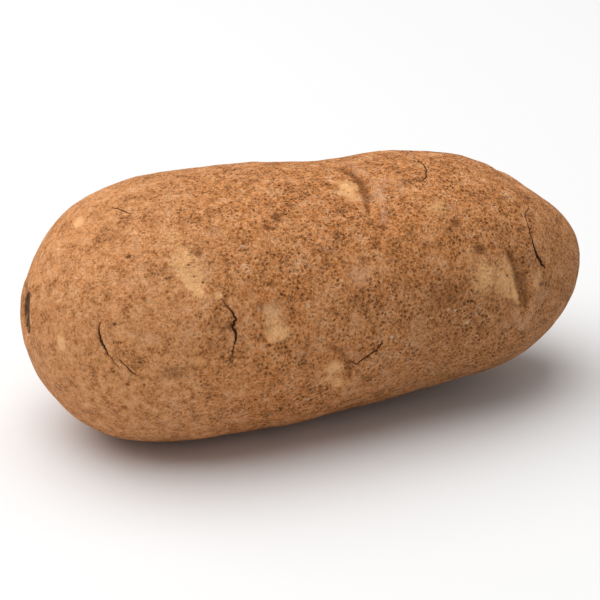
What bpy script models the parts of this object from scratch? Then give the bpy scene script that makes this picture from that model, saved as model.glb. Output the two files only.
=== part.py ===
"""A whole russet potato: one long, slightly waisted tuber resting on a small flat spot.

Metres, +Z up. +X runs along the length, from the stem end to the bud end. -Y is the near side.
The origin is on the ground, under the middle of the potato.
"""
import math

import bmesh
import bpy
from mathutils import Vector

for leftover in list(bpy.context.scene.objects):
    bpy.data.objects.remove(leftover, do_unlink=True)

# ---------------------------------------------------------------- driving dimensions (metres)
LENGTH = 0.1425         # stem end to bud end, before the stem pit and the bud dimple take a little off
FLAT_DEPTH = 0.0010     # how much of the belly is pressed flat where the potato rests
SQUARENESS = 2.1        # 2 is a true oval cross-section, more is boxier
CELLS = 20              # mesh cells along each edge of the starting cube

# Cross-sections from the stem end to the bud end:
# share of the length, half width, half height, how far the middle sits above the axis
SECTIONS = (
    (0.00, 0.0000, 0.0000, -0.0009),
    (0.04, 0.0179, 0.0175, -0.0009),
    (0.10, 0.0271, 0.0258, -0.0005),
    (0.20, 0.0331, 0.0305, -0.0003),
    (0.32, 0.0350, 0.0313, 0.0000),
    (0.44, 0.0345, 0.0308, 0.0000),
    (0.56, 0.0327, 0.0292, 0.0000),
    (0.68, 0.0316, 0.0288, 0.0012),
    (0.80, 0.0290, 0.0264, 0.0004),
    (0.88, 0.0244, 0.0222, -0.0003),
    (0.94, 0.0184, 0.0166, -0.0007),
    (0.98, 0.0110, 0.0102, -0.0007),
    (1.00, 0.0000, 0.0000, -0.0007),
)

# Broad swellings (+) and hollows (-) of the flesh: name, share of the length,
# angle from the top towards the near side (degrees), reach, height
SWELLINGS = (
    ("stem pit", 0.000, 0, 0.0055, -0.0011),
    ("shoulder above the stem end", 0.170, 330, 0.0150, 0.0007),
    ("bud end dimple", 0.940, 350, 0.0100, -0.0014),
    ("belly under the bud half", 0.610, 186, 0.0200, 0.0018),
    ("eye on the near flank, stem end", 0.235, 53, 0.0065, -0.0006),
    ("eye on the near flank, middle", 0.350, 76, 0.0060, -0.0005),
    ("low eye on the near flank", 0.463, 103, 0.0060, -0.0006),
    ("eye near the top", 0.550, 17, 0.0065, -0.0009),
    ("ridge beyond the eye near the top", 0.600, 14, 0.0075, 0.0006),
    ("eye on the near flank, bud end", 0.795, 79, 0.0075, -0.0008),
    ("ridge beyond the bud end eye", 0.845, 77, 0.0060, 0.0006),
    ("eye on the far side, stem end", 0.220, 255, 0.0075, -0.0010),
    ("eye on the far side, middle", 0.480, 280, 0.0075, -0.0009),
    ("eye on the far side, bud end", 0.760, 250, 0.0065, -0.0009),
    ("far flank swelling", 0.600, 265, 0.0165, 0.0011),
    ("eye near the bud tip", 0.970, 200, 0.0045, -0.0007),
)


# ---------------------------------------------------------------- shape of the tuber
def smooth_between(share, column, squared=False):
    """Value of one SECTIONS column at a share of the length, on a smooth curve through it."""
    places = [section[0] for section in SECTIONS]
    values = [section[column] ** 2 if squared else section[column] for section in SECTIONS]
    steps = [places[i + 1] - places[i] for i in range(len(places) - 1)]
    slopes = [(values[i + 1] - values[i]) / steps[i] for i in range(len(steps))]
    tangents = [
        (slopes[i - 1] * steps[i] + slopes[i] * steps[i - 1]) / (steps[i - 1] + steps[i])
        for i in range(1, len(steps))
    ]
    tangents = [2 * slopes[0] - tangents[0]] + tangents + [2 * slopes[-1] - tangents[-1]]
    i = max(k for k in range(len(steps)) if share >= places[k])
    t = (share - places[i]) / steps[i]
    return (
        (2 * t**3 - 3 * t**2 + 1) * values[i]
        + (t**3 - 2 * t**2 + t) * steps[i] * tangents[i]
        + (3 * t**2 - 2 * t**3) * values[i + 1]
        + (t**3 - t**2) * steps[i] * tangents[i + 1]
    )


def surface_point(direction):
    """Point on the smooth tuber for a direction on the unit ball."""
    share = min(max((direction.x + 1) / 2, 0.0), 1.0)
    around = math.atan2(-direction.y, direction.z)
    half_width = math.sqrt(max(smooth_between(share, 1, squared=True), 0.0))
    half_height = math.sqrt(max(smooth_between(share, 2, squared=True), 0.0))
    side = abs(math.sin(around)) ** SQUARENESS
    rise = abs(math.cos(around)) ** SQUARENESS
    boxy = (side + rise) ** (-1 / SQUARENESS)
    return Vector((
        (share - 0.5) * LENGTH,
        -half_width * boxy * math.sin(around),
        smooth_between(share, 3) + half_height * boxy * math.cos(around),
    ))


def ball_direction(share, degrees):
    """Direction on the unit ball for a share of the length and an angle from the top."""
    along = 2 * share - 1
    across = math.sqrt(max(1 - along**2, 0.0))
    turn = math.radians(degrees)
    return Vector((along, -across * math.sin(turn), across * math.cos(turn)))


def raise_swellings(mesh):
    """Push every vertex out or in along its normal by the swellings and hollows near it."""
    centres = [surface_point(ball_direction(share, turn)) for _, share, turn, _, _ in SWELLINGS]
    mesh.normal_update()
    moves = []
    for vertex in mesh.verts:
        move = 0.0
        for centre, (_, _, _, reach, height) in zip(centres, SWELLINGS):
            move += height * math.exp(-((vertex.co - centre).length / reach) ** 2)
        moves.append(vertex.normal * move)
    for vertex, move in zip(mesh.verts, moves):
        vertex.co += move


# ---------------------------------------------------------------- steps of the build
def ball_of_cells():
    """A cube cut into even cells and blown up into a ball, so no point is pinched."""
    mesh = bmesh.new()
    bmesh.ops.create_cube(mesh, size=2.0)
    bmesh.ops.subdivide_edges(mesh, edges=mesh.edges[:], cuts=CELLS - 1, use_grid_fill=True)
    for vertex in mesh.verts:
        even = [math.tan(part * math.pi / 4) for part in vertex.co]
        vertex.co = Vector(even).normalized()
    return mesh


def press_flat(mesh):
    """Cut the belly level, close the cut with one face, and stand the potato on it."""
    lowest = min(vertex.co.z for vertex in mesh.verts)
    ground = lowest + FLAT_DEPTH
    bmesh.ops.bisect_plane(
        mesh,
        geom=mesh.verts[:] + mesh.edges[:] + mesh.faces[:],
        dist=0.00005,
        plane_co=(0, 0, ground),
        plane_no=(0, 0, -1),
        clear_outer=True,
    )
    rim = [edge for edge in mesh.edges if edge.is_boundary]
    for edge in rim:
        for vertex in edge.verts:
            vertex.co.z = ground
    bmesh.ops.contextual_create(mesh, geom=rim)
    xs = [vertex.co.x for vertex in mesh.verts]
    ys = [vertex.co.y for vertex in mesh.verts]
    middle = Vector(((max(xs) + min(xs)) / 2, (max(ys) + min(ys)) / 2, ground))
    bmesh.ops.translate(mesh, vec=-middle, verts=mesh.verts[:])


def skin_material():
    """Dry, warm tan russet skin."""
    material = bpy.data.materials.new("russet_skin")
    material.use_nodes = True
    shader = material.node_tree.nodes["Principled BSDF"]
    shader.inputs["Base Color"].default_value = (0.40, 0.19, 0.07, 1.0)
    shader.inputs["Roughness"].default_value = 0.75
    return material


def build_potato():
    """The whole tuber as one closed solid."""
    mesh = ball_of_cells()
    for vertex in mesh.verts:
        vertex.co = surface_point(vertex.co)
    raise_swellings(mesh)
    press_flat(mesh)
    bmesh.ops.recalc_face_normals(mesh, faces=mesh.faces[:])
    for face in mesh.faces:
        face.smooth = True
    data = bpy.data.meshes.new("potato")
    mesh.to_mesh(data)
    mesh.free()
    data.materials.append(skin_material())
    potato = bpy.data.objects.new("potato", data)
    bpy.context.scene.collection.objects.link(potato)
    return potato


build_potato()
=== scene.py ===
# %% [markdown]
# # A whole russet potato
# The solid part is already there: it has the right size, a flat spot to rest on, and broad eye
# hollows. This notebook grows the real skin over it. The whole tuber is one piece, because a potato
# is one piece. First the skin is modelled as a fine mesh, then its eyes, ridges, scar and cracks are
# pushed into it, and last it is coloured with a material made of noise patterns.

# %% Load the part
import math

import bmesh
import bpy
import numpy as np
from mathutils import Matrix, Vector
from mathutils.bvhtree import BVHTree


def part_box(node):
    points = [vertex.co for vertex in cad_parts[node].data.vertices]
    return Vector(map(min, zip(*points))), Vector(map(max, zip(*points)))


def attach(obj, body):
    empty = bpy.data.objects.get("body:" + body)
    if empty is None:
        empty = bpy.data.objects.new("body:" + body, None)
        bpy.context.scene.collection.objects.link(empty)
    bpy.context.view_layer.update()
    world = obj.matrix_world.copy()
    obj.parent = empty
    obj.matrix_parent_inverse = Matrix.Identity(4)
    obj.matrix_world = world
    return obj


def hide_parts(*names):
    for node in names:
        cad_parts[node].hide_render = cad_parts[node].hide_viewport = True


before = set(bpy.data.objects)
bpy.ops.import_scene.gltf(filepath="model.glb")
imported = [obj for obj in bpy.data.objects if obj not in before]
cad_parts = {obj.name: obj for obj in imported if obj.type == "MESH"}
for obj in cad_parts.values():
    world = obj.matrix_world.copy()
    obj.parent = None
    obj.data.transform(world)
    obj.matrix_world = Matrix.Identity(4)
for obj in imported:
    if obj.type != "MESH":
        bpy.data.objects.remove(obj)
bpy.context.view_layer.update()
low, high = (Vector(corner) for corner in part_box("potato"))
size = high - low
middle = (low + high) / 2
MM = 0.001


def in_mm(sides):
    """Lengths in millimetres, rounded for printing."""
    return [round(side / MM, 1) for side in sides]


print("part", in_mm(size), "mm")

# %% [markdown]
# ## The body
# A potato is a long ball with blunt ends. A UV sphere would pinch at its two poles, right where the
# stem scar is, so the body starts as a cube. Its faces are cut into small squares, the squares are
# cut once more along the length, where the potato is stretched, and the cube is then rounded and
# scaled to the potato's box.

# %% Start from a cube and round it
CAGE_CUTS = 19
ROUNDNESS = 0.85

bpy.ops.object.select_all(action="DESELECT")
bpy.ops.mesh.primitive_cube_add(size=1.0, location=middle)
skin = bpy.context.object
skin.name = "potato_skin"
bpy.ops.object.mode_set(mode="EDIT")
bpy.ops.mesh.select_all(action="SELECT")
bpy.ops.mesh.subdivide(number_cuts=CAGE_CUTS)

cage = bmesh.from_edit_mesh(skin.data)
for edge in cage.edges:
    span = edge.verts[1].co - edge.verts[0].co
    edge.select_set(abs(span.x) > abs(span.y) + abs(span.z))
bmesh.update_edit_mesh(skin.data)
bpy.ops.mesh.subdivide(number_cuts=1)

bpy.ops.mesh.select_all(action="SELECT")
bpy.ops.transform.tosphere(value=ROUNDNESS)
bpy.ops.transform.resize(value=size, center_override=middle)
bpy.ops.object.mode_set(mode="OBJECT")
bpy.ops.object.transform_apply(location=True, rotation=True, scale=True)
print("cage", len(skin.data.polygons), "squares")

# %% [markdown]
# The rounded cube is then wrapped onto the solid with a Shrinkwrap and evened out with a Smooth, two
# times over, and divided twice by a Subdivision Surface. The solid could be smoothed by itself, but
# its flat triangles would show. This way they disappear, and a smooth body of its size is left.

# %% Wrap it on the solid and make it fine
def apply_modifier(kind, **settings):
    """Add a modifier to the skin, set it and apply it."""
    modifier = skin.modifiers.new(kind.title(), kind)
    for name, value in settings.items():
        setattr(modifier, name, value)
    bpy.ops.object.modifier_apply(modifier=modifier.name)


apply_modifier("SHRINKWRAP", target=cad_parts["potato"], wrap_method="NEAREST_SURFACEPOINT")
apply_modifier("SMOOTH", factor=0.5, iterations=6)
apply_modifier("SHRINKWRAP", target=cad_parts["potato"], wrap_method="NEAREST_SURFACEPOINT")
apply_modifier("SMOOTH", factor=0.5, iterations=3)
apply_modifier("SUBSURF", levels=2, render_levels=2)
print("body", len(skin.data.polygons), "faces,", in_mm(skin.dimensions), "mm")

# %% [markdown]
# ## Finding places on the skin
# Every eye and crack is placed by two plain numbers: its share of the length, from the stem end (0)
# to the bud end (1), and its angle around the potato, from the top (0) down the near side (90) to the
# belly (180). A ray shot out from the middle line finds that place on the skin. A route is a row of
# such places, shaken a little to each side with seeded random numbers, because nothing on a potato
# runs straight.

# %% Places and routes
body_tree = BVHTree.FromObject(skin, bpy.context.evaluated_depsgraph_get())
shaky = np.random.default_rng(11)
# the rounded length of the potato, and the turn that moves a point one millimetre round it
LONG_MM = 140
DEGREES_PER_MM = 1.8


def place(share, degrees):
    """The point of the skin at a share of the length and an angle from the top down the near side."""
    turn = math.radians(degrees)
    start = Vector((low.x + share * size.x, middle.y, middle.z))
    spot, normal, _, _ = body_tree.ray_cast(start, Vector((0.0, -math.sin(turn), math.cos(turn))))
    return spot, normal


def route(stops, steps=6, shake=0.0):
    """Points on the skin along a row of stops, with a little seeded shake to each side."""
    stops = np.array(stops, dtype=float)
    line = []
    for start, end in zip(stops[:-1], stops[1:]):
        for step in range(steps):
            share, degrees = start + (end - start) * step / steps
            side = shaky.normal(size=2) * shake
            line.append(place(share + side[0] / LONG_MM, degrees + side[1] * DEGREES_PER_MM)[0])
    line.append(place(*stops[-1])[0])
    return np.array(line)


CRACKS = {
    "long crack at the stem end": (
        (0.082, 67), (0.077, 71), (0.079, 77), (0.082, 80), (0.088, 85), (0.103, 91),
    ),
    "its second half": ((0.101, 86), (0.108, 88), (0.118, 92), (0.133, 94)),
    "crack in the middle": (
        (0.269, 64), (0.277, 68), (0.284, 70), (0.288, 73), (0.281, 76),
        (0.287, 78), (0.283, 83), (0.273, 90),
    ),
    "short crack on the shoulder": ((0.147, 3), (0.156, 8), (0.172, 15)),
    "curved crack near the top": ((0.694, -12), (0.699, 0), (0.697, 11), (0.687, 18), (0.670, 22)),
    "fine crack round the bud end": (
        (0.864, 33), (0.863, 39), (0.846, 44), (0.846, 53), (0.847, 62), (0.852, 68), (0.866, 75),
    ),
    "crack off the low ridge": ((0.488, 99), (0.495, 101), (0.512, 99), (0.530, 97), (0.545, 94)),
    "crack on the far side": ((0.36, 262), (0.375, 270), (0.368, 279), (0.381, 290)),
    "short crack on the far side": ((0.66, 236), (0.69, 240), (0.71, 238)),
    "crack across the belly": ((0.56, 206), (0.572, 213), (0.568, 221)),
}
crack_routes = {name: route(stops, steps=5, shake=0.11) for name, stops in CRACKS.items()}
print(len(crack_routes), "cracks")

# %% [markdown]
# A potato skin breathes through small pores, which show as brown dots. Some have a corky ring round
# them, and here and there a flake of dry skin looks white. They could be sprinkled at random, but the
# few that catch the eye are listed one by one, each with its place and its size.

# %% List the small marks
# share, angle, radius (mm)
DOTS = (
    (0.101, 69, 0.50), (0.107, 78, 0.38), (0.132, 87, 0.55), (0.113, 99, 0.55), (0.043, 3, 0.40),
    (0.032, 11, 0.40), (0.025, 22, 0.35), (0.142, 39, 0.60), (0.060, 60, 0.35), (0.127, 20, 0.42),
    (0.210, 25, 0.32), (0.138, 98, 0.32), (0.213, 104, 0.40), (0.242, 105, 0.36), (0.246, 57, 0.40),
    (0.234, 54, 0.34), (0.229, 49, 0.42), (0.340, 85, 0.55), (0.781, 74, 0.50), (0.854, 83, 0.36),
    (0.608, 29, 0.38), (0.539, 17, 0.26), (0.544, 19, 0.30), (0.810, 95, 0.36), (0.818, 111, 0.36),
    (0.824, 75, 0.40), (0.090, 250, 0.50), (0.140, 275, 0.42), (0.200, 300, 0.45), (0.310, 232, 0.45),
    (0.420, 262, 0.40), (0.560, 300, 0.45), (0.640, 225, 0.45), (0.830, 262, 0.50), (0.900, 240, 0.40),
    (0.930, 150, 0.45), (0.300, 190, 0.50), (0.620, 175, 0.45), (0.120, 170, 0.50), (0.480, 330, 0.40),
)
# share, angle, half length, half height (mm)
RINGS = ((0.439, 111, 1.5, 0.9), (0.594, 38, 0.8, 0.7), (0.237, 63, 0.7, 0.7), (0.400, 292, 1.2, 0.8))
FLECKS = (
    (0.416, 115, 0.70, 0.45), (0.664, 84, 0.50, 0.40), (0.676, 85, 0.45, 0.35), (0.317, 53, 0.60, 0.50),
    (0.324, 45, 0.70, 0.35), (0.700, 92, 0.50, 0.50), (0.560, 92, 0.45, 0.45), (0.250, 280, 0.60, 0.45),
    (0.660, 262, 0.60, 0.50), (0.800, 300, 0.50, 0.50),
)
MARK_SPAN = 0.003

mark_places = [
    route(((row[0], row[1]), (row[0] + MARK_SPAN, row[1])), steps=1)
    for row in DOTS + RINGS + FLECKS
]
print(len(DOTS), "dots,", len(RINGS), "rings,", len(FLECKS), "flecks")

# %% [markdown]
# Cracks and small marks are thinner than the squares of the mesh, so the faces close to them are
# divided twice more, and so are the faces round the stem scar. Dividing the whole skin would do too,
# but it would be far too heavy. This way only narrow strips get heavier, and the rest of the skin
# stays light.

# %% Divide the mesh finer where the detail is
# only faces this close to a route's middle are measured against it (m)
NEIGHBOURHOOD = 0.02


def distance_to(line, points):
    """Shortest distance from every point to a route, and how far along the route that is (0 to 1)."""
    best = np.full(len(points), 1.0)
    along = np.zeros(len(points))
    for number, (start, end) in enumerate(zip(line[:-1], line[1:])):
        span = end - start
        share = np.clip((points - start) @ span / (span @ span), 0, 1)
        gap = np.linalg.norm(points - start - share[:, None] * span, axis=1)
        nearer = gap < best
        best[nearer] = gap[nearer]
        along[nearer] = (number + share[nearer]) / (len(line) - 1)
    return best, along


def face_centres():
    """Centre of every face of the skin."""
    centres = np.empty(len(skin.data.polygons) * 3)
    skin.data.polygons.foreach_get("center", centres)
    return centres.reshape(-1, 3)


def divide_near(lines, reach):
    """Cut in four every face within reach of any of the lines."""
    centres = face_centres()
    near = np.zeros(len(centres), dtype=bool)
    for line in lines:
        around_line = np.linalg.norm(centres - line.mean(axis=0), axis=1) < NEIGHBOURHOOD
        near[around_line] |= distance_to(line, centres[around_line])[0] < reach
    skin.data.vertices.foreach_set("select", np.zeros(len(skin.data.vertices), dtype=bool))
    skin.data.edges.foreach_set("select", np.zeros(len(skin.data.edges), dtype=bool))
    skin.data.polygons.foreach_set("select", near)
    bpy.ops.object.mode_set(mode="EDIT")
    bpy.ops.mesh.subdivide(number_cuts=1, ngon=False)
    bpy.ops.object.mode_set(mode="OBJECT")


bpy.context.tool_settings.mesh_select_mode = (False, False, True)
fine_places = list(crack_routes.values()) + mark_places
for reach in (1.6, 0.8):
    divide_near(fine_places, reach * MM)

# where the stem scar will lie, from the middle of the blunt end (mm)
SCAR_SIDEWAYS = 1.2
SCAR_UPWARD = 3.1
SCAR_LINE_HALF = 4.5
scar_middle = np.array((low.x, middle.y + SCAR_SIDEWAYS * MM, middle.z + SCAR_UPWARD * MM))
half_line = np.array((0, 0, SCAR_LINE_HALF * MM))
scar_line = np.array((scar_middle - half_line, scar_middle + half_line))
for reach in (5.0, 4.6):
    divide_near([scar_line], reach * MM)
print("skin", sum(len(face.vertices) - 2 for face in skin.data.polygons), "triangles")

# %% [markdown]
# ## Painting where things are
# Each feature is painted as a number from 0 to 1 on every point of the mesh, as weight painting does
# by hand. The same painting is used twice: to push the skin in or out, and to colour it. So a crack's
# dark line always lies in its groove.

# %% Brushes
# a dab fades out here, as a share of its radius, and paints nothing further below or above it (mm)
DAB_END = 1.15
DAB_THICKNESS = 8
# how fast a stroke thins out at its ends, and its least width (mm)
TAPER = 0.4
THINNEST = 0.02

count = len(skin.data.vertices)
points = np.empty(count * 3)
skin.data.vertices.foreach_get("co", points)
points = points.reshape(-1, 3)
shares = (points[:, 0] - low.x) / size.x


def ease(value, start, end):
    """0 before start, 1 after end and an even slope between them."""
    t = np.clip((value - start) / (end - start), 0, 1)
    return t * t * (3 - 2 * t)


def oval(share, degrees, along_mm, down_mm, turn=0.0, core=0.20):
    """A soft oval dab: 1 inside its core, fading to 0 just past its rim."""
    spot, normal = place(share, degrees)
    forward = (Vector((1, 0, 0)) - normal * normal.x).normalized()
    down = forward.cross(normal)
    offset = (points - np.array(spot)) / MM
    u, v = offset @ np.array(forward), offset @ np.array(down)
    depth = offset @ np.array(normal)
    c, s = math.cos(math.radians(turn)), math.sin(math.radians(turn))
    reach = np.sqrt(((u * c + v * s) / along_mm) ** 2 + ((v * c - u * s) / down_mm) ** 2)
    return (1 - ease(reach, core, DAB_END)) * (np.abs(depth) < DAB_THICKNESS)


def stroke(line, width_mm):
    """A soft stroke along a route, 1 on its middle line, thinning to nothing at both ends."""
    gap, along = distance_to(line, points)
    width = width_mm * MM * np.clip(4 * along * (1 - along), 0, 1) ** TAPER
    return np.exp(-((gap / np.maximum(width, THINNEST * MM)) ** 2))


print(count, "points to paint")

# %% [markdown]
# ## Eyes and ridges
# An eye of a potato is a shallow hollow where a bud sleeps, under a curved ridge, the scar of a tiny
# leaf. The corky netting is thin there, so a smooth pale yellow patch shows round the bud.

# %% Paint the hollows and the yellow patches
# share, angle, half length, half height (mm), turn, depth (mm)
HOLLOWS = (
    (0.545, 18, 3.6, 5.0, -30, 0.55),
    (0.235, 54, 3.6, 5.5, -30, 0.30),
    (0.350, 79, 3.4, 3.6, 0, 0.30),
    (0.463, 103, 3.4, 3.2, 0, 0.35),
    (0.800, 80, 3.6, 6.5, -10, 0.40),
    (0.868, 0, 3.0, 18.0, 0, 0.75),
    (0.958, 60, 7.0, 15.0, 0, -1.00),
    (0.220, 255, 4.0, 4.5, 15, 0.50),
    (0.480, 280, 3.6, 4.6, -10, 0.50),
    (0.760, 250, 3.6, 4.2, 10, 0.50),
    (0.975, 200, 2.5, 2.5, 0, 0.30),
    (0.420, 205, 3.0, 3.4, 0, 0.25),
)
# share, angle, half length, half height (mm), turn, strength
YELLOW_PATCHES = (
    (0.546, 16, 2.6, 3.9, -35, 1.40), (0.541, 21, 3.8, 5.8, -30, 0.80),
    (0.224, 55, 2.2, 3.6, -25, 1.30), (0.236, 60, 1.8, 2.8, -30, 1.30), (0.229, 46, 1.9, 3.6, -15, 0.85),
    (0.266, 63, 1.9, 1.2, 30, 0.85), (0.226, 52, 4.8, 8.4, -20, 0.70), (0.213, 36, 3.8, 3.6, 0, 0.60),
    (0.355, 81, 4.2, 2.9, 15, 1.00), (0.350, 75, 3.4, 4.8, -15, 0.70),
    (0.457, 101, 3.0, 3.0, 0, 1.05), (0.467, 108, 2.0, 3.0, -20, 0.75), (0.440, 106, 3.6, 1.6, -20, 0.70),
    (0.778, 76, 4.2, 7.2, -8, 0.80), (0.796, 82, 1.4, 4.8, -12, 0.95), (0.735, 72, 5.2, 7.0, 0, 0.60),
    (0.845, 80, 3.0, 4.0, 0, 0.50), (0.676, 40, 5.0, 4.5, 0, 0.45), (0.713, 62, 5.0, 4.0, 0, 0.30),
    (0.028, 81, 1.7, 2.9, -10, 1.40), (0.095, -1, 1.8, 2.6, 0, 1.40), (0.120, 30, 3.0, 1.8, 0, 0.35),
    (0.160, 60, 3.5, 2.0, 20, 0.30), (0.105, 100, 3.5, 2.0, 20, 0.35), (0.220, 88, 4.0, 1.6, 10, 0.30),
    (0.220, 255, 3.8, 4.8, 15, 0.95), (0.232, 248, 1.6, 2.4, 15, 1.0), (0.480, 280, 3.2, 4.8, -10, 0.95),
    (0.486, 276, 1.5, 2.2, -10, 1.0), (0.760, 250, 3.6, 4.6, 10, 0.95), (0.766, 246, 1.6, 2.0, 10, 1.0),
    (0.975, 200, 2.5, 2.5, 0, 0.70), (0.420, 205, 3.0, 3.4, 0, 0.60), (0.100, 300, 2.0, 2.4, 0, 0.70),
    (0.620, 300, 5.0, 5.0, 0, 0.40), (0.330, 240, 4.5, 3.0, 0, 0.35), (0.880, 285, 3.5, 4.0, 0, 0.45),
)
push = np.zeros(count)
for share, degrees, half_length, half_height, turn, depth in HOLLOWS:
    push -= depth * MM * oval(share, degrees, half_length, half_height, turn, core=0.0)


def dabs(rows):
    """All ovals of a list laid over each other, the strongest winning."""
    total = np.zeros(count)
    for share, degrees, half_length, half_height, turn, strength in rows:
        total = np.maximum(total, strength * oval(share, degrees, half_length, half_height, turn))
    return total


yellow = dabs(YELLOW_PATCHES)
print(len(HOLLOWS), "hollows,", len(YELLOW_PATCHES), "yellow patches")

# %% [markdown]
# The leaf scar over an eye is a curved fold: a ridge, with a furrow beside it and often a dry, rubbed
# edge. The furrow is painted dark brown as painted shade, the shade that falls in it beside the ridge.
# Each fold is a route over the skin with its own width and height, with how much painted shade it
# gets and how rubbed it is. A raised curve could be modelled apart, but a painted stroke blends into
# the skin by itself.

# %% Draw the ridges and furrows round the eyes
# stops, width (mm), height (mm), how dark (painted shade in the furrows), how scuffed
FOLDS = {
    "top eye ridge": (
        ((0.550, -16), (0.563, -9), (0.574, -2), (0.581, 6), (0.584, 16), (0.580, 26)), 0.9, 0.75, 0, 0.55,
    ),
    "top eye furrow": (
        ((0.552, -6), (0.562, 1), (0.570, 9), (0.572, 17), (0.566, 27), (0.554, 38)), 1.35, -0.70, 1.0, 0,
    ),
    "top eye scuff": (
        ((0.582, 3), (0.589, 13), (0.592, 24), (0.587, 33), (0.576, 42)), 1.3, 0.20, 0, 1.0,
    ),
    "low eye ridge": (
        ((0.463, 88), (0.478, 92), (0.492, 97), (0.501, 104), (0.497, 114)), 0.9, 0.50, 0, 0.60,
    ),
    "low eye furrow": (((0.446, 90), (0.468, 94), (0.484, 100), (0.487, 109)), 1.5, -0.50, 0.70, 0),
    "low eye scuff": (((0.500, 106), (0.494, 115), (0.482, 121)), 1.7, 0.10, 0, 0.80),
    "bud end furrow": (
        ((0.790, 62), (0.802, 71), (0.812, 79), (0.819, 86), (0.822, 93)), 1.9, -0.80, 0.85, 0,
    ),
    "bud end ridge": (
        ((0.812, 60), (0.826, 68), (0.837, 76), (0.841, 84), (0.838, 92), (0.826, 99)), 1.2, 0.70, 0, 0.45,
    ),
    "bud end scuff": (((0.842, 87), (0.834, 94), (0.824, 100), (0.808, 105)), 1.5, 0.10, 0, 1.0),
    "inner bud end scuff": (((0.795, 91), (0.802, 97), (0.811, 104)), 1.4, 0.10, 0, 0.9),
    "middle eye edge": (((0.352, 66), (0.363, 70), (0.370, 76)), 0.45, 0.25, 0, 1.0),
    "bud end fibre": (((0.827, 77), (0.822, 81), (0.810, 85)), 0.35, 0.25, 0, 1.0),
    "far stem end ridge": (((0.245, 268), (0.252, 258), (0.248, 246)), 1.1, 0.55, 0, 0.6),
    "far stem end furrow": (((0.238, 266), (0.244, 257), (0.241, 248)), 1.0, -0.40, 0.85, 0),
    "far middle ridge": (((0.502, 294), (0.512, 282), (0.506, 268)), 1.1, 0.55, 0, 0.6),
    "far middle furrow": (((0.495, 292), (0.504, 281), (0.498, 270)), 1.0, -0.40, 0.85, 0),
    "far bud end ridge": (((0.783, 262), (0.790, 251), (0.784, 240)), 1.1, 0.55, 0, 0.6),
    "far bud end furrow": (((0.776, 260), (0.782, 250), (0.777, 242)), 1.0, -0.40, 0.85, 0),
}
dark = np.zeros(count)
scuffed = np.zeros(count)
for stops, width, height, furrow_shade, scuff in FOLDS.values():
    line = stroke(route(stops), width)
    push += height * MM * line
    # the furrows' darkness is painted shade, kept in the same dark painting as the cork blotches
    dark = np.maximum(dark, furrow_shade * line)
    scuffed = np.maximum(scuffed, scuff * line)
print(len(FOLDS), "folds")

# %% [markdown]
# Rubbing leaves dry pinkish scuffs on a potato, and old bruises grow dark cork. They are flat, so
# they only need colour. Each is a soft oval dab, and the noise in the material makes its edge ragged
# later.

# %% Paint the dry scuffs and the dark corky blotches
# share, angle, half length, half height (mm), turn, strength
SCUFFS = (
    (0.541, 26, 0.9, 0.9, 0, 0.9), (0.255, 48, 1.6, 1.8, 0, 0.7), (0.290, 37, 2.4, 2.4, 30, 0.75),
    (0.329, 71, 1.6, 1.2, 30, 0.9), (0.350, 71, 2.8, 3.4, -20, 0.75), (0.490, 118, 3.2, 1.8, -15, 0.8),
    (0.500, 62, 6.0, 5.0, 0, 0.45), (0.470, 50, 4.0, 3.0, 20, 0.35), (0.385, 27, 1.2, 1.0, 0, 0.7),
    (0.700, 39, 1.6, 1.6, 0, 0.6), (0.860, 88, 2.6, 4.0, 0, 0.45), (0.770, 100, 3.0, 2.0, -20, 0.5),
    (0.180, 120, 5.0, 1.8, 10, 0.6), (0.300, 122, 7.0, 1.6, 5, 0.6), (0.150, 76, 4.0, 2.2, 20, 0.5),
    (0.060, 30, 2.4, 3.0, 0, 0.4), (0.560, 110, 4.0, 2.4, -10, 0.45), (0.900, 20, 2.6, 2.2, 0, 0.4),
    (0.615, 22, 5.0, 6.0, 0, 0.45),
    (0.640, -10, 5.0, 2.0, 0, 0.4), (0.300, 262, 3.0, 4.0, 20, 0.6), (0.560, 285, 2.0, 6.0, 10, 0.6),
    (0.880, 255, 3.0, 4.0, 0, 0.5), (0.150, 230, 5.0, 3.0, 0, 0.5), (0.650, 215, 6.0, 3.0, 0, 0.5),
)
DARK_BLOTCHES = (
    (0.395, 33, 1.6, 2.6, 0, 0.9), (0.375, 38, 1.8, 1.2, -20, 0.7), (0.552, 41, 1.8, 1.0, 0, 0.9),
    (0.572, 44, 2.6, 1.1, 20, 0.95), (0.700, 47, 2.4, 2.2, 0, 0.9), (0.733, 60, 2.6, 2.0, 0, 0.9),
    (0.249, 45, 1.5, 1.7, 0, 0.85), (0.267, 76, 2.0, 1.1, -20, 0.9), (0.278, 76, 1.2, 2.0, 0, 0.8),
    (0.285, 54, 1.4, 0.6, -35, 0.8), (0.355, 62, 2.0, 1.2, 20, 0.7), (0.772, 31, 2.0, 0.8, 10, 0.8),
    (0.754, 51, 1.6, 1.2, 0, 0.6), (0.640, 55, 2.4, 2.2, 0, 0.55), (0.762, 95, 1.6, 1.2, 0, 0.8),
    (0.726, 96, 1.8, 1.4, 0, 0.8), (0.180, 92, 6.0, 3.0, 0, 0.60), (0.250, 84, 7.0, 5.0, 0, 0.34),
    (0.390, 90, 6.0, 4.0, 0, 0.40), (0.655, 77, 8.0, 7.0, 10, 0.60),
    (0.469, 127, 2.0, 0.5, 0, 1.0), (0.414, 123, 1.4, 0.4, 0, 1.0), (0.150, -3, 0.8, 0.8, 0, 0.9),
    (0.439, 111, 1.2, 0.6, 0, 0.7), (0.300, 280, 2.4, 2.4, 0, 0.8), (0.540, 255, 2.4, 2.4, 0, 0.8),
    (0.700, 275, 2.4, 2.4, 0, 0.8), (0.400, 230, 3.0, 2.0, 0, 0.7), (0.850, 230, 2.4, 2.0, 0, 0.7),
)
scuffed = np.maximum(scuffed, dabs(SCUFFS))
dark = np.maximum(dark, dabs(DARK_BLOTCHES))
print(len(SCUFFS), "scuffs,", len(DARK_BLOTCHES), "dark blotches")

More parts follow.
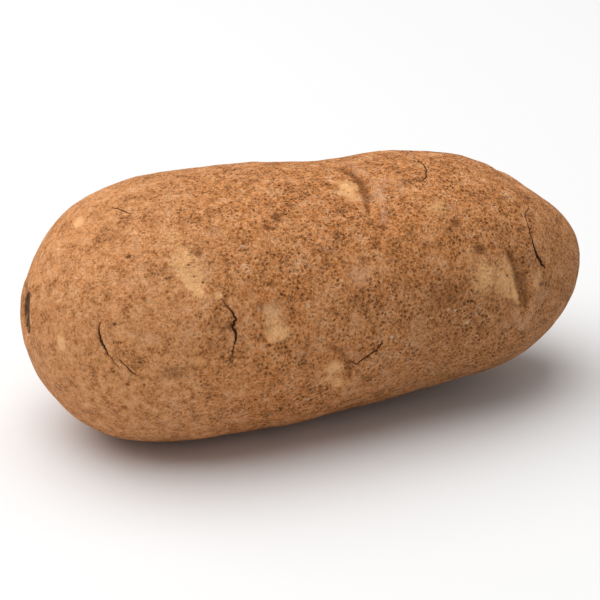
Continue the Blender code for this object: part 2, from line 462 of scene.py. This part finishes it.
# %% [markdown]
# The small marks of the lists above are painted now. A ring is a large dab with a smaller one taken
# out of its middle. The pores also sink in a little, as real ones do.

# %% Paint the dots, rings and flecks
# how deep the pores sink in (mm)
DOT_DEPTH = 0.15

dots = np.zeros(count)
for share, degrees, radius in DOTS:
    dots = np.maximum(dots, oval(share, degrees, 1.9 * radius, 1.5 * radius, core=0.0))
for share, degrees, half_length, half_height in RINGS:
    outer = oval(share, degrees, half_length * 1.35, half_height * 1.35, core=0.3)
    inner = oval(share, degrees, half_length * 0.9, half_height * 0.9, core=0.2)
    dots = np.maximum(dots, 0.62 * np.clip(1.5 * outer * (1 - inner), 0, 1))
white = np.zeros(count)
for share, degrees, half_length, half_height in FLECKS:
    white = np.maximum(white, oval(share, degrees, 1.5 * half_length, 1.5 * half_height, core=0.1))
push -= DOT_DEPTH * MM * dots
print("dots cover", int((dots > 0.5).sum()), "points")

# %% [markdown]
# ## The stem scar
# At the blunt end the potato hung on its stem. When it dried off it left a sunken, fibrous, dark
# brown scar, taller than wide, with a rim of skin that stands a little proud on one side.

# %% Paint the stem scar
# all in millimetres
SCAR_HALF_WIDTH = 4.0
SCAR_HALF_HEIGHT = 6.2
SCAR_DEPTH = 0.9
EDGE_DEPTH = 0.8
RIM_HEIGHT = 0.55
STEM_END_SHARE = 0.06

sideways = (points[:, 1] - middle.y) / MM
upward = (points[:, 2] - middle.z) / MM
at_stem_end = shares < STEM_END_SHARE
across = (sideways - SCAR_SIDEWAYS) / SCAR_HALF_WIDTH
upright = (upward - SCAR_UPWARD) / SCAR_HALF_HEIGHT
scar_reach = np.sqrt(across ** 2 + upright ** 2)
scar = (1 - ease(scar_reach, 0.70, 1.0)) * at_stem_end
# a groove along the scar's near edge; its dark line, painted through the crack painting, is painted shade
near_edge = np.exp(-((scar_reach - 0.98) / 0.16) ** 2) * at_stem_end * ease(-sideways, -0.5, 1.2)
rim = np.exp(-((scar_reach - 1.40) / 0.30) ** 2) * at_stem_end
push -= SCAR_DEPTH * MM * scar
push -= EDGE_DEPTH * MM * near_edge
push += RIM_HEIGHT * MM * rim
print("scar covers", int((scar > 0.5).sum()), "points")

# %% [markdown]
# ## Cracks
# Where the flesh grew faster than its skin, the skin split. A growth crack is a thin jagged groove
# with a dark bottom, partly the crack's own brown cork and partly painted shade in the groove. Its
# painted line is sharper than its groove, so that the dark stays at the bottom.

# %% Paint the cracks
# groove depth (mm), dark line's half width (mm)
CRACK_SIZES = {
    "long crack at the stem end": (0.55, 0.28),
    "its second half": (0.40, 0.24),
    "crack in the middle": (0.50, 0.185),
    "short crack on the shoulder": (0.30, 0.24),
    "curved crack near the top": (0.25, 0.17),
    "fine crack round the bud end": (0.30, 0.16),
    "crack off the low ridge": (0.35, 0.26),
    "crack on the far side": (0.50, 0.25),
    "short crack on the far side": (0.30, 0.20),
    "crack across the belly": (0.35, 0.20),
}
crack_line = np.zeros(count)
for name, line in crack_routes.items():
    depth, half_width = CRACK_SIZES[name]
    push -= depth * MM * stroke(line, half_width * 1.3)
    crack_line = np.maximum(crack_line, stroke(line, half_width))
print("deepest push", round(push.min() / MM, 2), "mm, highest", round(push.max() / MM, 2), "mm")

# %% [markdown]
# ## Pushing the skin in and out
# A sculptor would carve the eyes and cracks with brushes. Here the painting is stored as two vertex
# groups, one for hollows and one for ridges, and two Displace modifiers move the skin along its
# normals by them. A third Displace with a soft cloud texture gives the slight unevenness that every
# potato has. Its own group fades it out near the ground, so that the flat spot stays flat.

# %% Displace the skin
# both in millimetres
LUMP_SIZE = 14
LUMP_HEIGHT = 1.2


def weigh(name, values):
    """Store a painting as a vertex group."""
    group = skin.vertex_groups.new(name=name)
    for index in np.nonzero(values > 0.002)[0]:
        group.add([int(index)], float(min(values[index], 1.0)), "REPLACE")
    return group


deepest, highest = -push.min(), push.max()
weigh("hollows", np.clip(-push / deepest, 0, 1))
weigh("ridges", np.clip(push / highest, 0, 1))
clouds = bpy.data.textures.new("uneven_flesh", "CLOUDS")
clouds.noise_scale = LUMP_SIZE * MM
clouds.noise_depth = 2
above_ground = ease(points[:, 2], low.z + 0.5 * MM, low.z + 6 * MM)
weigh("off_the_ground", above_ground)
apply_modifier("DISPLACE", vertex_group="hollows", strength=-deepest, mid_level=0.0)
apply_modifier("DISPLACE", vertex_group="ridges", strength=highest, mid_level=0.0)
apply_modifier(
    "DISPLACE", vertex_group="off_the_ground", texture=clouds, texture_coords="LOCAL",
    strength=LUMP_HEIGHT * MM, mid_level=0.5,
)
skin.vertex_groups.clear()
bpy.ops.object.select_all(action="DESELECT")
skin.select_set(True)
bpy.ops.object.shade_smooth()
print("skin now", in_mm(skin.dimensions), "mm")

# %% [markdown]
# The paintings are kept on the mesh as attributes with plain names, and the material reads them. An
# image would need a UV map, and a number on every point needs none. The strength of the cork net is
# painted here too: it is thin at the stem end and at the bud tip, and nearly gone on yellow patches
# and scuffs.

# %% Keep the paintings for the material
netted = 0.35 + 0.65 * ease(shares, 0.05, 0.40)
netted *= 1 - 0.45 * ease(shares, 0.80, 0.93)
netted *= 1 - 0.72 * np.clip(yellow, 0, 1)
netted *= 1 - 0.6 * scuffed
paintings = {
    "yellow": yellow,
    "scuffed": scuffed,
    "dark": dark,
    "scar": scar,
    # the crack painting also holds the painted shade along the stem scar's near edge
    "crack": np.maximum(crack_line, near_edge),
    "dots": dots,
    "white": white,
    "netted": netted,
}
for name, values in paintings.items():
    attribute = skin.data.attributes.new(name, "FLOAT", "POINT")
    attribute.data.foreach_set("value", values.astype(np.float32))
print("attributes:", ", ".join(paintings))

# %% [markdown]
# ## The skin's material
# Russet skin has layers. Underneath is warm tan skin that is paler and pinker toward the stem end.
# Over it lie the eyes' bare yellow patches and a net of fine cork: pale raised threads about a
# millimetre apart with a small brown pit in each mesh. Then come dark cork, dry pinkish scuffs, small
# breathing pores, the scar and the cracks. An image could be wrapped round the potato, but it would
# need seams. Noise and Voronoi patterns on Object coordinates have no seam anywhere.

# %% Helpers for the node tree
material = bpy.data.materials.new("russet_skin")
material.use_nodes = True
nodes = material.node_tree.nodes
links = material.node_tree.links
shader = nodes["Principled BSDF"]


def node(kind, inputs=(), **settings):
    """Add a node, set its options and fill or link its inputs."""
    new = nodes.new(kind)
    for name, value in settings.items():
        setattr(new, name, value)
    for socket, value in dict(inputs).items():
        if isinstance(value, bpy.types.NodeSocket):
            links.new(value, new.inputs[socket])
        else:
            new.inputs[socket].default_value = value
    return new


def sums(operation, one, other=0.0, clamp=False):
    """One step of arithmetic on two values or sockets."""
    return node("ShaderNodeMath", {0: one, 1: other}, operation=operation, use_clamp=clamp).outputs[0]


def step_up(value, start, end, low_value=0.0, high_value=1.0):
    """low_value before start, high_value after end, smooth between."""
    return node(
        "ShaderNodeMapRange",
        {"Value": value, "From Min": start, "From Max": end, "To Min": low_value, "To Max": high_value},
        interpolation_type="SMOOTHSTEP",
    ).outputs[0]


def painted(name):
    """A painting of the mesh, read as a value."""
    return node("ShaderNodeAttribute", attribute_name=name).outputs["Fac"]


def over(base, top, amount):
    """Colour top laid over colour base by amount."""
    mix = node("ShaderNodeMix", {0: amount}, data_type="RGBA")
    for socket, value in ((mix.inputs[6], base), (mix.inputs[7], top)):
        if isinstance(value, bpy.types.NodeSocket):
            links.new(value, socket)
        else:
            socket.default_value = (*value, 1.0)
    return mix.outputs[2]


print("new material", material.name)

# %% [markdown]
# Every layer starts from the same soft noise, at a coarse or a fine scale. An image wrapped round the
# potato would stretch at its two ends, while noise fills space and has no ends. The Object
# coordinates keep it fixed to the potato when it moves.

# %% Noise that the layers share
coordinates = node("ShaderNodeTexCoord").outputs["Object"]


def noise(scale, detail=2.0, roughness=0.5, twist=0.0, vector=None, output="Fac"):
    """Soft noise; scale is the number of waves in a metre."""
    return node(
        "ShaderNodeTexNoise",
        {
            "Vector": vector or coordinates, "Scale": scale, "Detail": detail,
            "Roughness": roughness, "Distortion": twist,
        },
    ).outputs[output]


def shifted(vector, scale, amount):
    """Coordinates pushed about by noise, so that regular cells turn wavy."""
    raw = noise(scale, 2.0, output="Color")
    wander = node("ShaderNodeVectorMath", {0: raw, 1: (0.5, 0.5, 0.5)}, operation="SUBTRACT")
    move = node("ShaderNodeVectorMath", {0: wander.outputs[0], "Scale": amount}, operation="SCALE")
    return node("ShaderNodeVectorMath", {0: vector, 1: move.outputs[0]}, operation="ADD").outputs[0]


def centred(value, gain):
    """Noise made to swing about zero, times a gain."""
    return sums("MULTIPLY", sums("SUBTRACT", value, 0.5), gain)


print("noise reads", coordinates.name, "coordinates")

# %% [markdown]
# The skin under the net is warm tan, and it is never even. Noise at four scales moves it toward brown
# on one side and toward dry pink on the other. The stem end is paler, and the low side of the bud
# half is painted darker and greyer, as painted shade where the underside turns from the light.

# %% Warm tan skin, blotchy and paler toward the stem end
TAN = (0.60, 0.203, 0.047)
PALE_PINK_TAN = (0.62, 0.246, 0.082)
BROWN = (0.165, 0.044, 0.004)
# the greyer brown of the painted shade on the low side of the bud half
LOW_SIDE_SHADE_BROWN = (0.200, 0.085, 0.028)
DRY_PINK = (0.89, 0.515, 0.285)
BROWN_AMOUNT = 0.45
DRY_AMOUNT = 0.30
LOW_SIDE_SHADE_AMOUNT = 0.50

position = node("ShaderNodeSeparateXYZ", {0: coordinates}).outputs
toward_bud = step_up(position[0], -0.060, 0.000)
past_middle = step_up(position[0], -0.015, 0.030)
low_down = step_up(position[2], 0.032, 0.058, 1.0, 0.0)
blotches = noise(60, 3.0, 0.55)
patches = noise(170, 3.0, 0.6)
fine_patches = noise(420, 3.0, 0.65)
colour = over(PALE_PINK_TAN, TAN, sums("ADD", toward_bud, centred(blotches, 2.2), True))
broad = sums("MULTIPLY", centred(patches, 6.5), step_up(position[0], -0.045, 0.000, 0.55, 1.0))
brownness = sums("ADD", broad, centred(fine_patches, 7.5))
brownness = sums("ADD", brownness, centred(noise(1100, 3.0, 0.7), 4.0))
brownness = sums("ADD", brownness, centred(noise(2600, 2.0, 0.6), 4.0))
colour = over(colour, BROWN, sums("MULTIPLY", sums("MAXIMUM", brownness, 0.0), BROWN_AMOUNT, True))
paleness = sums("MAXIMUM", sums("SUBTRACT", 0.0, brownness), 0.0)
colour = over(colour, DRY_PINK, sums("MULTIPLY", paleness, DRY_AMOUNT, True))
# painted shade: the low side of the bud half is darkened toward a greyer brown
low_side_shade = sums("MULTIPLY", sums("MULTIPLY", past_middle, low_down), LOW_SIDE_SHADE_AMOUNT)
colour = over(colour, LOW_SIDE_SHADE_BROWN, low_side_shade)
print("base skin", len(nodes), "nodes")

# %% [markdown]
# Round an eye the cork is missing and the pale flesh shows through the thin skin. The painting says
# where, and noise is added to it before it is cut off, which gives the patch a torn edge and not a
# round one.

# %% Bare yellow patches round the eyes
YELLOW_SKIN = (0.95, 0.520, 0.225)
YELLOW_AMOUNT = 0.90

ragged = centred(noise(480, 3.0, 0.65), 0.9)
wavy = centred(noise(260, 3.0, 0.65), 2.4)
yellow_mask = sums("ADD", sums("ADD", painted("yellow"), wavy), sums("MULTIPLY", ragged, 1.3))
yellow_mask = step_up(yellow_mask, -0.05, 1.10)
yellow_mask = sums("MULTIPLY", yellow_mask, step_up(painted("yellow"), 0.0, 0.42))
colour = over(colour, YELLOW_SKIN, sums("MULTIPLY", yellow_mask, YELLOW_AMOUNT))
print("with the yellow patches", len(nodes), "nodes")

# %% [markdown]
# The net is what makes a russet potato. Voronoi cells give it: the distance to a cell's middle makes
# the dark pit, and the distance to its edge makes the pale thread. The cells are first pushed about
# by noise, because straight edges would look like a honeycomb. The net is left out where the
# paintings say so.

# %% The cork net and its pits
PIT_BROWN = (0.066, 0.016, 0.002)
THREAD_TAN = (0.86, 0.450, 0.205)
CELLS_PER_METRE = 980.0
CELL_WANDER = 1.0 * MM
THREAD_AMOUNT = 0.46
PIT_AMOUNT = 0.94

net_space = shifted(coordinates, 1500, CELL_WANDER)
net_inputs = {"Vector": net_space, "Scale": CELLS_PER_METRE}
net_cells = node("ShaderNodeTexVoronoi", net_inputs, feature="F1")
net_edges = node("ShaderNodeTexVoronoi", net_inputs, feature="DISTANCE_TO_EDGE")
cell_random = node("ShaderNodeSeparateColor", {0: net_cells.outputs["Color"]}).outputs[0]
pits = step_up(net_cells.outputs["Distance"], 0.15, 0.44, 1.0, 0.0)
pits = sums("MULTIPLY", pits, sums("ADD", sums("MULTIPLY", cell_random, 0.60), 0.38))
pit_flecks = step_up(noise(1500, 2.0, 0.6, twist=1.2), 0.36, 0.45, 1.0, 0.0)
pits = sums("MAXIMUM", pits, sums("MULTIPLY", pit_flecks, 0.50))
crowding = step_up(noise(150, 3.0, 0.6), 0.30, 0.58, 0.40, 1.0)
net_strength = sums("MULTIPLY", painted("netted"), crowding)
# the dark cork, and the painted shade of the furrows, bring the net back in full
net_strength = sums("MAXIMUM", net_strength, painted("dark"))
pits = sums("MULTIPLY", pits, net_strength)
threads = step_up(net_edges.outputs["Distance"], 0.02, 0.20, 1.0, 0.0)
crumbs = step_up(noise(1300, 2.0, 0.6, twist=0.8), 0.53, 0.61)
threads = sums("MAXIMUM", sums("MULTIPLY", threads, 0.7), crumbs)
colour = over(colour, THREAD_TAN, sums("MULTIPLY", threads, THREAD_AMOUNT))
colour = over(colour, PIT_BROWN, sums("MULTIPLY", pits, PIT_AMOUNT))
print("with the cork net", len(nodes), "nodes")

# %% [markdown]
# Thick cork is darker than thin cork. It fills the old bruises, and the same dark brown is painted
# into the furrows beside the eyes as painted shade. Both let some of the net show through.

# %% Dark cork in the blotches, painted shade in the furrows
CORK_AND_FURROW_SHADE_BROWN = (0.17, 0.054, 0.012)
CORK_AND_FURROW_SHADE_AMOUNT = 0.68

# dark cork in the blotches and painted shade in the furrows beside the eyes
dark_mask = step_up(sums("ADD", painted("dark"), ragged), 0.20, 0.90)
colour = over(colour, CORK_AND_FURROW_SHADE_BROWN, sums("MULTIPLY", dark_mask, CORK_AND_FURROW_SHADE_AMOUNT))
print("with the dark cork", len(nodes), "nodes")

# %% [markdown]
# Dry, lifted skin scatters light and looks pink and powdery. Noise stretched round the potato gives it
# fibres, and the white flecks use the same ragged edge with a lighter colour.

# %% Dry pinkish scuffs
SCUFF_PINK = (0.68, 0.38, 0.225)
WHITE_FLECK = (0.74, 0.54, 0.38)
SCUFF_AMOUNT = 0.55
FLECK_AMOUNT = 0.65

fibres_space = node("ShaderNodeMapping", {"Vector": coordinates, "Scale": (1.0, 0.35, 0.35)}).outputs[0]
fibres = noise(1500, 3.0, 0.7, vector=fibres_space)
scuff_mask = sums("ADD", sums("ADD", painted("scuffed"), wavy), centred(fibres, 3.0))
scuff_mask = step_up(scuff_mask, 0.15, 1.15)
scuff_mask = sums("MULTIPLY", scuff_mask, step_up(painted("scuffed"), 0.0, 0.30))
colour = over(colour, SCUFF_PINK, sums("MULTIPLY", scuff_mask, SCUFF_AMOUNT))
fleck_mask = step_up(sums("ADD", painted("white"), ragged), 0.40, 0.75)
colour = over(colour, WHITE_FLECK, sums("MULTIPLY", fleck_mask, FLECK_AMOUNT))
print("with the scuffs", len(nodes), "nodes")

# %% [markdown]
# Pores are scattered all over the skin. A second Voronoi pattern with few cells per metre drops one
# small dark point in the middle of each cell, with a paler rim. The larger painted dots join them
# here.

# %% Breathing pores and stray specks
PORE_DARK = (0.085, 0.030, 0.014)
PORE_RIM = (0.66, 0.36, 0.19)
PORES_PER_METRE = 170.0
PORE_RIM_AMOUNT = 0.30
PORE_AMOUNT = 0.72

pore_space = shifted(coordinates, 900, 0.0006)
pore_cells = node("ShaderNodeTexVoronoi", {"Vector": pore_space, "Scale": PORES_PER_METRE}, feature="F1")
pore_distance = pore_cells.outputs["Distance"]
pore_rim = step_up(pore_distance, 0.09, 0.15, 1.0, 0.0)
colour = over(colour, PORE_RIM, sums("MULTIPLY", pore_rim, PORE_RIM_AMOUNT))
pore_mask = step_up(pore_distance, 0.035, 0.085, 1.0, 0.0)
dot_mask = step_up(sums("ADD", painted("dots"), sums("MULTIPLY", ragged, 0.5)), 0.40, 0.80)
pore_mask = sums("MAXIMUM", sums("MULTIPLY", pore_mask, 0.6), dot_mask)
colour = over(colour, PORE_DARK, sums("MULTIPLY", pore_mask, PORE_AMOUNT))
print("with the pores", len(nodes), "nodes")

# %% [markdown]
# The scar is dry straw and dark fibre, so it gets a colour of its own with noise stretched upright.
# The cracks come last, because nothing lies over them. Their near-black is partly cork and partly
# painted shade in the grooves, and along the scar's near edge it is painted shade.

# %% The stem scar and the cracks
SCAR_BROWN = (0.10, 0.045, 0.018)
SCAR_STRAW = (0.36, 0.20, 0.09)
# near-black: cork in the cracks and painted shade in their grooves
CRACK_CORK_AND_SHADE = (0.030, 0.010, 0.006)
CRACK_AMOUNT = 0.93

straw_space = node("ShaderNodeMapping", {"Vector": coordinates, "Scale": (1, 1, 0.25)}).outputs[0]
straw = noise(900, 3.0, 0.7, vector=straw_space)
scar_colour = over(SCAR_BROWN, SCAR_STRAW, step_up(straw, 0.45, 0.70))
scar_mask = step_up(sums("ADD", painted("scar"), sums("MULTIPLY", ragged, 0.5)), 0.25, 0.55)
colour = over(colour, scar_colour, scar_mask)
# the dark line: crack cork with painted shade in the groove, and painted shade along the scar's near edge
crack_mask = step_up(sums("ADD", painted("crack"), sums("MULTIPLY", ragged, 0.6)), 0.35, 0.70)
colour = over(colour, CRACK_CORK_AND_SHADE, sums("MULTIPLY", crack_mask, CRACK_AMOUNT))
links.new(colour, shader.inputs["Base Color"])
print("with the scar and the cracks", len(nodes), "nodes")

# %% [markdown]
# A potato skin is dry and almost without gloss, a little smoother where it is bare. The threads and
# pits are too fine for the mesh, so a Bump node raises them, and everything larger is in the mesh
# already.

# %% Roughness and the net's relief
SHEEN_TINT = (1.0, 0.80, 0.62, 1.0)
RELIEF_STRENGTH = 0.9
RELIEF_HEIGHT = 0.35 * MM

smooth_patches = sums("MULTIPLY", yellow_mask, 0.12)
roughness = sums("SUBTRACT", sums("ADD", sums("MULTIPLY", patches, 0.18), 0.60), smooth_patches)
links.new(roughness, shader.inputs["Roughness"])
shader.inputs["Specular IOR Level"].default_value = 0.07
shader.inputs["Sheen Weight"].default_value = 0.05
shader.inputs["Sheen Tint"].default_value = SHEEN_TINT
shader.inputs["Sheen Roughness"].default_value = 0.50

grain = noise(2600, 3.0, 0.6)
height = sums("ADD", sums("MULTIPLY", threads, 0.6), sums("MULTIPLY", pits, -1.0))
height = sums("ADD", height, sums("MULTIPLY", grain, 0.5))
height = sums("ADD", height, sums("MULTIPLY", patches, 2.0))
height = sums("ADD", height, sums("MULTIPLY", fine_patches, 1.2))
height = sums("ADD", height, sums("MULTIPLY", crack_mask, -1.2))
bump = node(
    "ShaderNodeBump",
    {"Height": height, "Strength": RELIEF_STRENGTH, "Distance": RELIEF_HEIGHT},
)
links.new(bump.outputs[0], shader.inputs["Normal"])
skin.data.materials.append(material)
print("material has", len(nodes), "nodes")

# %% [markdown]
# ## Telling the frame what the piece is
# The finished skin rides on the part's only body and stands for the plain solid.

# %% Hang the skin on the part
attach(skin, "root")
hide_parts("potato")
print(skin.name, "rides on the root body")

# %% [markdown]
# ## Floor, light and camera
# A potato is shown best on plain white paper. The floor is one large plane, a hair below the potato
# so that the two never share a face, and it belongs to the stage and not to the part.

# %% Floor
FLOOR_SIZE = 4.0
FLOOR_DROP = 0.1 * MM
PAPER_WHITE = (0.80, 0.80, 0.80, 1)

bpy.ops.object.select_all(action="DESELECT")
bpy.ops.mesh.primitive_plane_add(size=FLOOR_SIZE, location=(0, 0, -FLOOR_DROP))
floor = bpy.context.object
floor.name = "floor"
paper = bpy.data.materials.new("white_paper")
paper.use_nodes = True
paper_shader = paper.node_tree.nodes["Principled BSDF"]
paper_shader.inputs["Base Color"].default_value = PAPER_WHITE
paper_shader.inputs["Roughness"].default_value = 0.9
floor.data.materials.append(paper)
print("floor", FLOOR_SIZE, "m wide")

# %% [markdown]
# The light is an even white sky and one wide lamp. A small lamp would give a hard shadow and bright
# spots, and a wide one gives the soft shading that shows a dull, round thing best.

# %% Light
SKY_STRENGTH = 0.36
KEY_DIRECTION = (-0.28, 0.16, 0.94)
KEY_DISTANCE = 1.2
KEY_WIDTH = 1.7
KEY_WATTS = 23

world = bpy.data.worlds.new("studio")
bpy.context.scene.world = world
world.use_nodes = True
sky = world.node_tree.nodes["Background"]
sky.inputs["Color"].default_value = (1, 1, 1, 1)
sky.inputs["Strength"].default_value = SKY_STRENGTH


def softbox(name, from_direction, distance, width, watts):
    """A square area lamp that shines at the potato from a direction."""
    data = bpy.data.lights.new(name, "AREA")
    data.size = width
    data.energy = watts
    lamp = bpy.data.objects.new(name, data)
    bpy.context.scene.collection.objects.link(lamp)
    direction = Vector(from_direction).normalized()
    lamp.location = middle + direction * distance
    lamp.rotation_euler = direction.to_track_quat("Z", "Y").to_euler()
    return lamp


key = softbox("key", KEY_DIRECTION, KEY_DISTANCE, KEY_WIDTH, KEY_WATTS)
print("key lamp at", [round(value, 2) for value in key.location], "m")

# %% [markdown]
# A long lens from a little above keeps both ends of the potato at their true size. The camera is
# placed by two angles and a distance, and it looks back along the same line.

# %% Camera
AZIMUTH = math.radians(-20)
ELEVATION = math.radians(25)
DISTANCE = 0.552
AIM = Vector((-0.0028, -0.0006, 0.0272))
LENS = 135

back = Vector((
    math.sin(AZIMUTH) * math.cos(ELEVATION),
    -math.cos(AZIMUTH) * math.cos(ELEVATION),
    math.sin(ELEVATION),
))
camera_data = bpy.data.cameras.new("camera")
camera_data.lens = LENS
camera_data.clip_start = 0.01
camera = bpy.data.objects.new("camera", camera_data)
bpy.context.scene.collection.objects.link(camera)
camera.location = AIM + back * DISTANCE
camera.rotation_euler = back.to_track_quat("Z", "Y").to_euler()
bpy.context.scene.camera = camera
bpy.context.scene.view_settings.view_transform = "Standard"
print("camera", round(DISTANCE, 3), "m away,", LENS, "mm lens")
